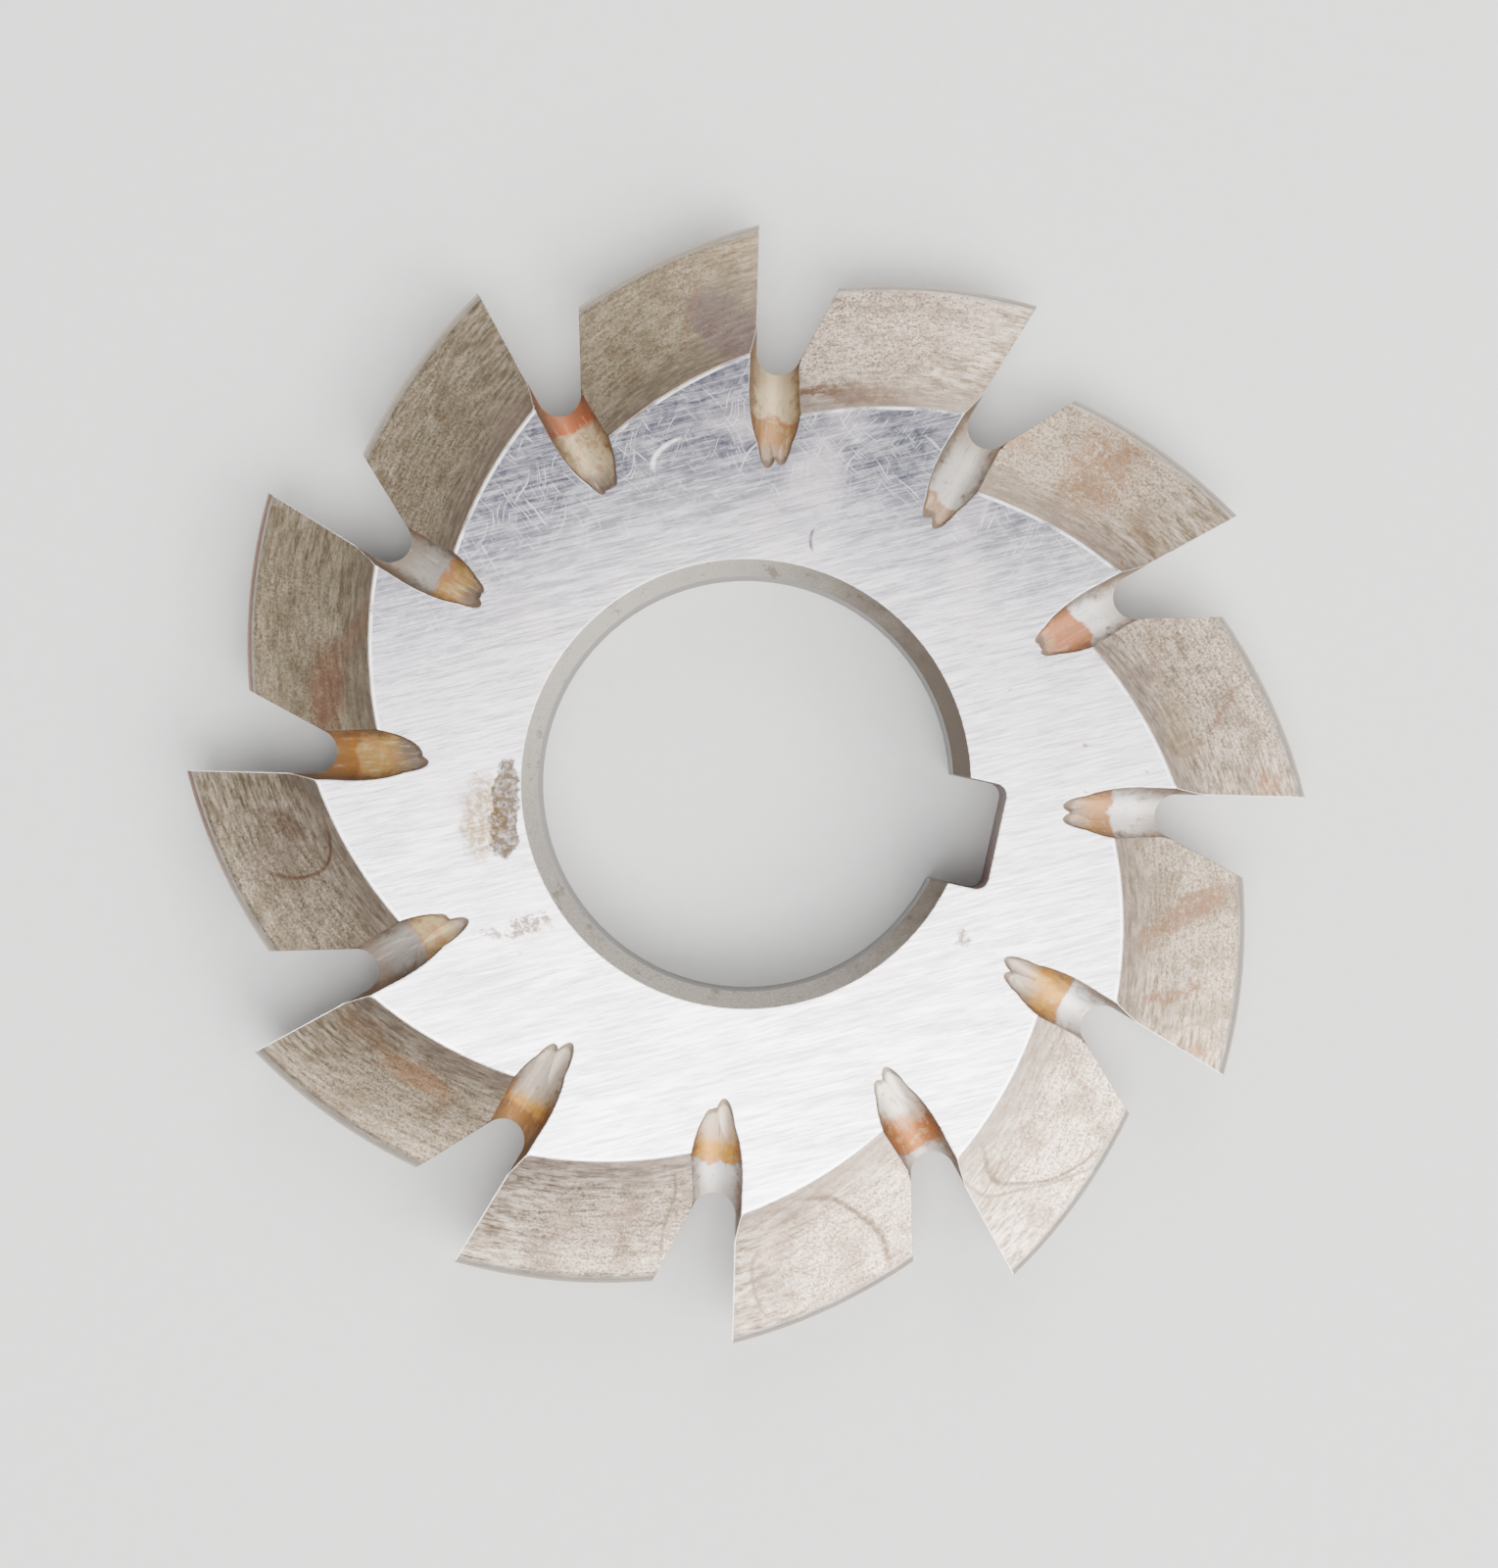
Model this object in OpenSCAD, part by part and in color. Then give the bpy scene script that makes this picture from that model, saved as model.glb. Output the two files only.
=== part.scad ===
// Form-relieved disc milling cutter for involute gear teeth, with a keyed bore for a milling arbor.
// Origin: where the bore axis meets the lower hub face. +Z is the bore axis, and +X runs through the keyway.
// The cutter is one piece of tool steel. It is drawn as its hub and its twelve relieved teeth,
// which meet face to face where the ground hub faces end and the relieved tooth form begins.

/* [Cutter] */
// Diameter over the tooth tips
outside_d = 73.5; // [72:0.1:76]
// Thickness over the two ground hub faces
thickness = 9.5; // [9:0.1:9.8]
// Number of teeth
teeth = 12; // [11:1:13]
// Angle from the keyway to the cutting face of the first tooth, in degrees
first_tooth = 10.9; // [0:0.1:29]

/* [Tooth form] */
// Module of the gear that the cutter makes
gear_module = 3.5; // [3.4:0.05:3.7]
// Tooth count of the gear whose tooth space is the cutter's form
gear_teeth = 55; // [55:1:134]
// Pressure angle of the gear, in degrees
pressure_angle = 20; // [19:0.5:21]
// Radius that rounds the two corners of each tooth tip
tip_corner_r = 1; // [0.6:0.1:1.2]
// Radial drop of the relief over one tooth pitch
relief = 5.15; // [4.5:0.05:5.5]

/* [Bore] */
// Diameter of the arbor bore
bore_d = 27; // [22:1:27]
// Chamfer at both ends of the bore
bore_chamfer = 1.1; // [0.5:0.1:1.5]
// Width of the keyway
keyway_w = 7; // [6:0.1:8]
// Distance from the bore axis to the keyway floor
keyway_floor = 16.7; // [16:0.1:17.5]
// Radius in the two corners of the keyway floor
keyway_corner_r = 0.8; // [0.4:0.1:1]

/* [Gashes] */
// Distance from the bore axis to the bottom of a gash
gash_floor = 26.7; // [26.3:0.1:27]
// Radius of the gash bottom
gash_root_r = 1.45; // [1.3:0.05:1.6]
// Angle between the cutting face and the back of the tooth ahead, in degrees
gash_angle = 26.5; // [24:0.5:30]

/* [Run-outs] */
// Radius of the groove that runs from each gash out onto a hub face
scoop_r = 1.75; // [1.65:0.05:1.8]
// Slope of that groove against the hub face, in degrees
scoop_tilt = 21.4; // [20:0.1:24]
// Distance of the groove's centre line from the cutting face
scoop_offset = 1.33; // [1.3:0.01:1.4]
// Distance from the bore axis to the inner end of the groove
scoop_end = 21; // [20.8:0.1:21.4]
// Distance from the bore axis to the groove's bend, where it starts to leave the tooth
scoop_bend = 27.6; // [27.3:0.1:27.8]
// Angle of that bend towards the open gash, in degrees
bend_angle = 12; // [11:1:14]
// Radius of the two flutes at the groove's inner end
flute_r = 0.8; // [0.7:0.05:0.85]
// Distance of each flute from the groove's centre line
flute_offset = 0.43; // [0.35:0.01:0.5]
// Slope of the flutes, in degrees. It is less than the groove's, so they fade out along its floor.
flute_tilt = 15; // [14:0.5:17]

/* [Hidden] */
$fn = 96;
pitch = 360 / teeth;
tip_r = outside_d / 2;
bore_r = bore_d / 2;
function tooth_name(i) = str("tooth_", i < 10 ? "0" : "", i);

// Inner end of the two flutes in the gash before each tooth. They are ground by hand, so all differ.
flute_ends_near = [20.6, 20.9, 20.8, 20.5, 20.9, 20.7, 20.6, 20.0, 20.2, 20.4, 20.4, 20.2];
flute_ends_far = [20.6, 20.9, 20.5, 20.7, 21.0, 21.0, 21.2, 21.1, 20.8, 21.1, 20.9, 20.7];

// Tooth space of the gear. Depth is measured from the gear's root circle, which the cutter's tip makes.
gear_r = gear_module * gear_teeth / 2;
gear_base_r = gear_r * cos(pressure_angle);
gear_root_r = gear_r - 1.25 * gear_module;
function involute(angle) = tan(angle) * 180 / PI - angle;
function gear_angle(depth) = acos(gear_base_r / (gear_root_r + depth));
function space_angle(depth) =
    90 / gear_teeth - involute(pressure_angle) + involute(gear_angle(depth));
function form_half_width(depth) = (gear_root_r + depth) * sin(space_angle(depth));
function form_slope(depth) = gear_angle(depth) + space_angle(depth);
function form_depth_at(half_width, low, high, steps) =
    let (middle = (low + high) / 2)
    steps == 0 ? middle
    : form_half_width(middle) < half_width ? form_depth_at(half_width, middle, high, steps - 1)
    : form_depth_at(half_width, low, middle, steps - 1);
form_depth = form_depth_at(thickness / 2, 0, 3 * gear_module, 30);

// Half of the tooth form on the cutting face, as [depth below the tip, half width].
corner_slope = form_slope(0.75 * tip_corner_r);
corner_depth = tip_corner_r * (1 - sin(corner_slope));
corner_centre = form_half_width(corner_depth) - tip_corner_r * cos(corner_slope);
corner_steps = 6;
flank_steps = 8;
corner_points = [
    for (i = [0:corner_steps - 1])
        let (a = (90 - corner_slope) * i / corner_steps)
        [tip_corner_r * (1 - cos(a)), corner_centre + tip_corner_r * sin(a)]
];
flank_points = [
    for (i = [0:flank_steps])
        let (depth = corner_depth + (form_depth - corner_depth) * i / flank_steps)
        [depth, form_half_width(depth)]
];
half_form = concat(corner_points, flank_points);

// Relief: each tooth's form is turned about its own axis, set off from the bore axis, so that the
// whole form falls away behind the cutting face.
land_angle = 20.6;
cam_offset = relief * teeth / (2 * PI);
cam_angle = land_angle / 2 - 90;
cam_x = cam_offset * cos(cam_angle);
cam_y = cam_offset * sin(cam_angle);
function cam_radius(x) = norm([x - cam_x, cam_y]);
form_base_r = cam_radius(tip_r - form_depth);

// Plan of a gash. X runs outward along the cutting face and Y is square to it, into the tooth.
// The back of the tooth ahead starts at the heel point, where the round gash bottom ends.
reach = tip_r + 3;
gash_centre_x = gash_floor + gash_root_r;
heel_x = gash_centre_x - gash_root_r * sin(gash_angle);
heel_y = -gash_root_r * (1 + cos(gash_angle));
heel_reach_y = heel_y - (reach - heel_x) * tan(gash_angle);

// The hub's core lies just inside the lowest point of the relieved tooth bases.
core_r = tip_r - form_depth - relief - 0.4;
inside_x = core_r - 2.5;
overlap = 1;

// Groove and flutes run downward from the hub face, so their ends lie this far above it.
end_clear = 1;
// The slot above a groove reaches past the hub face. It is a little narrower than the groove.
slot_height = 3;
slot_margin = 0.02;
// Past its bend the groove runs on this far, into the open gash.
bend_run = 3.3;

hub_color = [0.84, 0.84, 0.86];
tooth_color = [0.66, 0.62, 0.56];

function turned(p, angle) = [p[0] * cos(angle) - p[1] * sin(angle), p[0] * sin(angle) + p[1] * cos(angle)];

module at_tooth(i) {
    rotate([0, 0, first_tooth + (i - 1) * pitch]) children();
}

// The gash in front of a cutting face, in plan.
module gash_outline() {
    translate([gash_centre_x, -gash_root_r]) circle(r = gash_root_r);
    polygon([
        [gash_centre_x, 0],
        [reach, 0],
        [reach, heel_reach_y],
        [heel_x, heel_y],
        [gash_centre_x, -gash_root_r]
    ]);
}

// One tooth in plan, from its cutting face to the back where the next gash begins.
module tooth_outline() {
    polygon([
        [inside_x, 0],
        [reach, 0],
        turned([reach, heel_reach_y], pitch),
        turned([heel_x, heel_y], pitch),
        turned([inside_x, heel_y], pitch)
    ]);
}

// What a round tool removes as it goes straight along a slope: a round floor and the open slot above it.
// The tool's axis goes through the origin. From and to are distances along it, counted downhill.
module sloped_cut(r, tilt, from, to) {
    slot_w = 2 * (r - slot_margin);
    rotate([0, 90 + tilt, 0])
        translate([0, 0, from]) {
            cylinder(r = r, h = to - from);
            translate([-slot_height, -slot_w / 2, 0]) cube([slot_height, slot_w, to - from]);
        }
}

// A sloped cut that starts above the hub face and goes as far as the groove's bend.
// End is where its lowest line leaves the hub face, in plan.
module run_out(r, tilt, end, past_bend) {
    axis_x = end + r / sin(tilt);
    translate([axis_x, 0, thickness])
        sloped_cut(r, tilt, -r / tan(tilt) - end_clear, (scoop_bend - axis_x) / cos(tilt) + past_bend);
}

// The groove on the upper hub face that a gash runs out into.
module scoop(i) {
    axis_x = scoop_end + scoop_r / sin(scoop_tilt);
    bend_z = thickness - (scoop_bend - axis_x) * tan(scoop_tilt);
    miter = scoop_r * tan(bend_angle / 2);
    near_end = flute_ends_near[(i - 1) % len(flute_ends_near)];
    far_end = flute_ends_far[(i - 1) % len(flute_ends_far)];
    translate([0, -scoop_offset, 0]) {
        run_out(scoop_r, scoop_tilt, scoop_end, miter);
        translate([scoop_bend, 0, bend_z])
            rotate([0, 0, -bend_angle]) sloped_cut(scoop_r, scoop_tilt, -miter, bend_run);
        translate([0, flute_offset, 0]) run_out(flute_r, flute_tilt, near_end, 0);
        translate([0, -flute_offset, 0]) run_out(flute_r, flute_tilt, far_end, 0);
    }
}

// The same groove on both hub faces.
module scoops(i) {
    at_tooth(i) {
        scoop(i);
        translate([0, 0, thickness]) mirror([0, 0, 1]) scoop(i);
    }
}

module keyway_outline() {
    half_w = keyway_w / 2;
    translate([0, -half_w]) square([keyway_floor - keyway_corner_r, keyway_w]);
    translate([0, keyway_corner_r - half_w])
        square([keyway_floor, keyway_w - 2 * keyway_corner_r]);
    for (side = [-1, 1])
        translate([keyway_floor - keyway_corner_r, side * (half_w - keyway_corner_r)])
            circle(r = keyway_corner_r);
}

// The hub in plan: a round core, a base under each tooth that falls away with the relief,
// and the metal under each gash.
module hub_outline() {
    difference() {
        union() {
            circle(r = core_r);
            for (i = [1:teeth]) at_tooth(i) {
                intersection() {
                    translate([cam_x, cam_y]) circle(r = form_base_r);
                    polygon([
                        [inside_x, -overlap],
                        [reach, -overlap],
                        turned([reach, -overlap], pitch),
                        turned([inside_x, -overlap], pitch)
                    ]);
                }
                translate([inside_x, heel_y])
                    square([gash_centre_x - inside_x, -heel_y - overlap / 2]);
            }
        }
        for (i = [1:teeth]) at_tooth(i) gash_outline();
        circle(r = bore_r);
        keyway_outline();
    }
}

module bore_chamfers() {
    for (z = [0, thickness])
        translate([0, 0, z - bore_chamfer])
            cylinder(
                r1 = z == 0 ? bore_r + 2 * bore_chamfer : bore_r,
                r2 = z == 0 ? bore_r : bore_r + 2 * bore_chamfer,
                h = 2 * bore_chamfer
            );
}

module hub() {
    color(hub_color)
        difference() {
            linear_extrude(height = thickness) hub_outline();
            bore_chamfers();
            for (i = [1:teeth]) scoops(i);
        }
}

// The tooth form turned about the cam axis, all the way round.
module relieved_ring() {
    upper = [for (p = half_form) [cam_radius(tip_r - p[0]), thickness / 2 + p[1]]];
    lower = [for (p = half_form) [cam_radius(tip_r - p[0]), thickness / 2 - p[1]]];
    count = len(lower);
    translate([cam_x, cam_y, 0])
        rotate_extrude()
            polygon(concat(upper, [for (k = [count - 1:-1:0]) lower[k]]));
}

module tooth(i) {
    color(tooth_color)
        difference() {
            at_tooth(i)
                intersection() {
                    relieved_ring();
                    translate([0, 0, -1]) linear_extrude(height = thickness + 2) tooth_outline();
                }
            scoops(i);
            scoops(i + 1);
        }
}

hub();
for (i = [1:teeth])
    tooth(i);
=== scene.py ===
"""Looks for the form-relieved gear cutter: materials, floor, studio light and camera."""

import math

import bpy
from mathutils import Matrix, Vector


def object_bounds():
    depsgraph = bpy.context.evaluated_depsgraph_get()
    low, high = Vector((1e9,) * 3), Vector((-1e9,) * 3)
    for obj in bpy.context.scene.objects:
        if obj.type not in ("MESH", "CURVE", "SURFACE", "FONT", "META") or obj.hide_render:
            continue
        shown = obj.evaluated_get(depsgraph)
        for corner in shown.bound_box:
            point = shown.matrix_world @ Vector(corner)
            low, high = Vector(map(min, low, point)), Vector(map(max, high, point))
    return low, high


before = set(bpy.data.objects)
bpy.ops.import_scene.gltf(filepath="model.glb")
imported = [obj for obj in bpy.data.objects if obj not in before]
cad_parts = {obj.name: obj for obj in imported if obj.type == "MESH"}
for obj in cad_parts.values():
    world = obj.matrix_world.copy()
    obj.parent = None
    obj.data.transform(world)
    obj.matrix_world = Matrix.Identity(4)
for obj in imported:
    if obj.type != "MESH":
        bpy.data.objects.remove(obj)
cad_low, cad_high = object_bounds()

MM = 0.001

# The cutter's measures, in millimetres and degrees, as the CAD model has them. The last two
# are distances from the centre of the relief arc, to the hub face's edge and to the tip.
TEETH = 12
PITCH = 30.0
FIRST_TOOTH = 10.9
THICKNESS = (cad_high[2] - cad_low[2]) / MM
BORE_R = 13.5
GASH_ROOT_R = 1.45
GROOVE_R = 1.75
GROOVE_TILT = 21.4
GROOVE_END = 21.0
GROOVE_OFFSET = 1.33
GROOVE_BEND = 27.6
BEND_ANGLE = 12.0
CAM_OFFSET = 9.836
CAM_ANGLE = -79.7
FLANK_BASE = 28.03
FLANK_TIP = 36.30

# Scale along the axis that makes a flat mark the same at any height.
FAR = 1000.0

# On the hub, the finish of the bore and keyway stays inside one radius, that of the run-out
# grooves and gashes outside the other.
BORE_ZONE_R = 17.5
GROOVE_ZONE_R = 18.0

# Bevel radius for rounded edges and their painted highlights, and how deep the finest relief goes.
HUB_EDGE = 0.15 * MM
TOOTH_EDGE = 0.10 * MM
FINE_RELIEF = 0.010 * MM

# The camera looks straight down, turned so that the keyway points a little below the right.
# Bearings are degrees counter-clockwise from the right of the image.
VIEW_TURN = 12.3
GRIND_DIRECTION = 26.3
# Towards this bearing the hub face darkens: a blue-grey film and a painted dark reflection.
FILM_AND_REFLECTION_BEARING = 94.0
# Bearings of the painted light and the painted shade on the bore chamfer.
PAINTED_LIGHT_BEARING = 132.0
PAINTED_SHADE_BEARING = 8.0
RED_CREST_BEARING = 168.0


class Graph:
    """Adds nodes to one node tree. Most methods give back the new node's output socket."""

    def __init__(self, tree):
        self.tree = tree

    def feed(self, socket, value):
        """Links a socket to another node's output, or sets it to a plain value."""
        if isinstance(value, bpy.types.NodeSocket):
            self.tree.links.new(value, socket)
        else:
            socket.default_value = value

    def add(self, kind, values=(), **settings):
        """A new node with its inputs fed, by number or by name, and its settings made."""
        node = self.tree.nodes.new(kind)
        for name, value in settings.items():
            setattr(node, name, value)
        for key, value in dict(values).items():
            self.feed(node.inputs[key], value)
        return node

    def math(self, operation, a, b=0.0, c=0.0, clamp=False):
        node = self.add("ShaderNodeMath", {0: a, 1: b, 2: c}, operation=operation, use_clamp=clamp)
        return node.outputs[0]

    def vector(self, x, y, z=0.0):
        return self.add("ShaderNodeCombineXYZ", {0: x, 1: y, 2: z}).outputs[0]

    def split(self, vector):
        return self.add("ShaderNodeSeparateXYZ", {0: vector}).outputs

    def step(self, value, low, high, bottom=0.0, top=1.0):
        """A smooth step from bottom at low to top at high."""
        values = {0: value, 1: low, 2: high, 3: bottom, 4: top}
        node = self.add("ShaderNodeMapRange", values, interpolation_type="SMOOTHSTEP")
        return node.outputs[0]

    def step_linear(self, value, low, high):
        """A straight ramp from 0 at low to 1 at high, which goes on past both."""
        node = self.add("ShaderNodeMapRange", {0: value, 1: low, 2: high}, clamp=False)
        return node.outputs[0]

    def blend(self, factor, a, b):
        """Colour a where the factor is 0, colour b where it is 1."""
        node = self.add("ShaderNodeMix", {0: factor, 6: opaque(a), 7: opaque(b)}, data_type="RGBA")
        return node.outputs[2]

    def mix(self, factor, a, b):
        """Number a where the factor is 0, number b where it is 1."""
        return self.add("ShaderNodeMix", {0: factor, 2: a, 3: b}, data_type="FLOAT").outputs[0]

    def mix_vector(self, factor, a, b):
        return self.add("ShaderNodeMix", {0: factor, 4: a, 5: b}, data_type="VECTOR").outputs[1]

    def noise(self, vector, scale=1.0, detail=2.0, roughness=0.5, distortion=0.0):
        values = {
            "Vector": vector, "Scale": scale, "Detail": detail,
            "Roughness": roughness, "Distortion": distortion,
        }
        return self.add("ShaderNodeTexNoise", values).outputs[0]

    def stretch(self, vector, turn, along, across, depth=1.0):
        """Turns a pattern's axes by an angle, then sets how fast it changes along each."""
        turned = self.add("ShaderNodeVectorRotate", {0: vector, 3: math.radians(-turn)},
                          rotation_type="Z_AXIS")
        values = {0: turned.outputs[0], 1: (along, across, depth)}
        return self.add("ShaderNodeVectorMath", values, operation="MULTIPLY").outputs[0]

    def place_on(self, vector, x, y, turn, half_length, half_width):
        """Coordinates in a flat frame of a mark's own, where the mark's outline has radius 1."""
        node = self.add("ShaderNodeMapping", {0: vector}, vector_type="TEXTURE")
        node.inputs["Location"].default_value = (x, y, 0.0)
        node.inputs["Rotation"].default_value = (0.0, 0.0, math.radians(turn))
        node.inputs["Scale"].default_value = (half_length, half_width, FAR)
        return node.outputs[0]

    def length(self, vector):
        return self.add("ShaderNodeVectorMath", {0: vector}, operation="LENGTH").outputs[1]

    def warp(self, vector, scale, detail, reach):
        """Moves each point aside by less than half the reach, so that outlines come out uneven."""
        values = {"Vector": vector, "Scale": scale, "Detail": detail, "Roughness": 0.6}
        colour = self.add("ShaderNodeTexNoise", values).outputs["Color"]
        values = {0: colour, 1: (0.5, 0.5, 0.5)}
        centred = self.add("ShaderNodeVectorMath", values, operation="SUBTRACT").outputs[0]
        values = {0: centred, 1: (reach, reach, reach), 2: vector}
        return self.add("ShaderNodeVectorMath", values, operation="MULTIPLY_ADD").outputs[0]

    def choose(self, index, colours):
        """Picks one colour for each whole number, by a stepped ramp. Alpha holds a second value."""
        count = len(colours)
        place = self.math("MULTIPLY_ADD", index, 1 / count, 0.5 / count)
        node = self.add("ShaderNodeValToRGB", {0: place})
        ramp = node.color_ramp
        ramp.interpolation = "CONSTANT"
        ramp.elements.remove(ramp.elements[1])
        for number, colour in enumerate(colours):
            element = ramp.elements[0] if number == 0 else ramp.elements.new(number / count)
            element.color = opaque(colour)
        return node.outputs

    def bump(self, height, distance, strength=1.0, normal=None):
        """A normal that shows relief: a height of 1 stands for the distance, in metres."""
        values = {"Height": height, "Distance": distance, "Strength": strength}
        if normal is not None:
            values["Normal"] = normal
        return self.add("ShaderNodeBump", values).outputs[0]


def opaque(colour):
    """Adds full opacity to a colour of three numbers, and leaves anything else as it is."""
    if isinstance(colour, tuple) and len(colour) == 3:
        return (*colour, 1.0)
    return colour


def new_group(name, outputs):
    """A node group, the graph that fills it, and the sockets that take its results."""
    tree = bpy.data.node_groups.new(name, "ShaderNodeTree")
    for label, kind in outputs.items():
        tree.interface.new_socket(label, in_out="OUTPUT", socket_type=kind)
    graph = Graph(tree)
    target = graph.add("NodeGroupOutput")
    return tree, graph, target.inputs


FLOAT = "NodeSocketFloat"
COLOUR = "NodeSocketColor"
VECTOR = "NodeSocketVector"


def make_cutter_map():
    """Where a point of the cutter lies, in millimetres, and patterns that all finishes share.

    Height is the distance from the middle plane. Along and Across run outward from the bore
    axis and square to that, on the nearest cutting face, and Gash is that face's number.
    Depth goes from 0 at the edge of the hub face to 1 at the tip, along the tooth form, and
    Sweep is the distance behind the tooth's cutting face. Side is 1 on the upper half.
    Frayed and Curved are the place with small or broad wandering, and Mottle is a pattern.
    """
    tree, g, out = new_group("cutter_map", {
        "Place": VECTOR, "Radius": FLOAT, "Height": FLOAT, "Gash": FLOAT, "Along": FLOAT,
        "Across": FLOAT, "Tooth": FLOAT, "Depth": FLOAT, "Sweep": FLOAT, "Side": FLOAT,
        "Frayed": VECTOR, "Curved": VECTOR, "Mottle": FLOAT,
    })
    place = g.add("ShaderNodeTexCoord").outputs["Object"]
    place = g.add("ShaderNodeVectorMath", {0: place, 3: 1 / MM}, operation="SCALE").outputs[0]
    x, y, z = g.split(place)
    radius = g.math("SQRT", g.math("ADD", g.math("MULTIPLY", x, x), g.math("MULTIPLY", y, y)))
    angle = g.math("MULTIPLY", g.math("ARCTAN2", y, x), 180 / math.pi)
    turns = g.math("DIVIDE", g.math("SUBTRACT", angle, FIRST_TOOTH), PITCH)
    tooth = g.math("FLOOR", turns)
    gash = g.math("ROUND", turns)
    from_gash = g.math("MULTIPLY", g.math("SUBTRACT", turns, gash), math.radians(PITCH))
    from_tooth = g.math("MULTIPLY", g.math("SUBTRACT", turns, tooth), math.radians(PITCH))
    cam_x = CAM_OFFSET * math.cos(math.radians(CAM_ANGLE))
    cam_y = CAM_OFFSET * math.sin(math.radians(CAM_ANGLE))
    tooth_x = g.math("SUBTRACT", g.math("MULTIPLY", radius, g.math("COSINE", from_tooth)), cam_x)
    tooth_y = g.math("SUBTRACT", g.math("MULTIPLY", radius, g.math("SINE", from_tooth)), cam_y)
    form_r = g.math("SQRT", g.math("ADD", g.math("MULTIPLY", tooth_x, tooth_x),
                                   g.math("MULTIPLY", tooth_y, tooth_y)))
    results = {
        "Place": place,
        "Radius": radius,
        "Height": g.math("ABSOLUTE", g.math("SUBTRACT", z, THICKNESS / 2)),
        "Gash": g.math("FLOORED_MODULO", gash, TEETH),
        "Along": g.math("MULTIPLY", radius, g.math("COSINE", from_gash)),
        "Across": g.math("MULTIPLY", radius, g.math("SINE", from_gash)),
        "Tooth": g.math("FLOORED_MODULO", tooth, TEETH),
        "Depth": g.step_linear(form_r, FLANK_BASE, FLANK_TIP),
        "Sweep": g.math("MULTIPLY", from_tooth, radius),
        "Side": g.math("GREATER_THAN", z, THICKNESS / 2),
        "Frayed": g.warp(place, 0.9, 5.0, 2.0),
        "Curved": g.warp(place, 0.13, 1.0, 4.0),
        "Mottle": g.step(g.noise(place, 2.2, 4.0, 0.7), 0.38, 0.56),
    }
    for label, value in results.items():
        g.feed(out[label], value)
    return tree


cutter_map = make_cutter_map()


def read_map(graph):
    """The cutter map's results, by name."""
    return graph.add("ShaderNodeGroup", node_tree=cutter_map).outputs


# Tones of the steel and of its stains.
WHITE = (0.88, 0.86, 0.83)
CLEAN = (0.74, 0.70, 0.66)
SILVER = (0.56, 0.52, 0.47)
DULL = (0.40, 0.365, 0.32)
LEAD = (0.30, 0.27, 0.235)
IVORY = (0.80, 0.71, 0.61)
PALE_GREY = (0.44, 0.36, 0.285)
WARM_GREY = (0.58, 0.47, 0.36)
CREAM = (0.58, 0.46, 0.28)
TAN = (0.34, 0.24, 0.17)
PALE_TAN = (0.31, 0.235, 0.175)
MUD = (0.17, 0.125, 0.095)
GOLD = (0.58, 0.29, 0.040)
OCHRE = (0.46, 0.28, 0.08)
STRAW = (0.50, 0.37, 0.18)
APRICOT = (0.38, 0.205, 0.085)
ORANGE = (0.44, 0.14, 0.030)
BRICK = (0.44, 0.165, 0.085)
AMBER = (0.34, 0.145, 0.025)
SIENNA = (0.42, 0.20, 0.09)
RUST = (0.46, 0.12, 0.04)
BROWN = (0.24, 0.14, 0.08)
UMBER = (0.10, 0.065, 0.045)
PURPLE_GREY = (0.27, 0.19, 0.19)

# Each run-out groove from its root to its nose: root tone, where that ends, band tone,
# where the band has faded, nose tone. Places are distances from the bore axis, and the
# colour ramps hold them as shares of one stretch, from 0 at its start to 1 at its end.
GROOVES_FROM = 20.0
GROOVES_LENGTH = 8.0
GROOVES = [
    (CLEAN, 23.6, APRICOT, 21.9, PALE_TAN),
    (CLEAN, 23.9, BRICK, 21.4, PALE_TAN),
    (SILVER, 22.4, TAN, 20.8, TAN),
    (CREAM, 23.8, APRICOT, 22.0, PALE_TAN),
    (RUST, 25.6, CREAM, 22.3, MUD),
    (DULL, 23.9, OCHRE, 22.2, MUD),
    (AMBER, 25.2, OCHRE, 22.5, MUD),
    (LEAD, 23.4, STRAW, 21.4, PALE_TAN),
    (AMBER, 25.5, GOLD, 24.6, PALE_GREY),
    (CLEAN, 24.8, GOLD, 23.0, WARM_GREY),
    (CLEAN, 26.6, ORANGE, 24.3, IVORY),
    (WHITE, 24.7, GOLD, 22.4, PALE_GREY),
]


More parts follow.
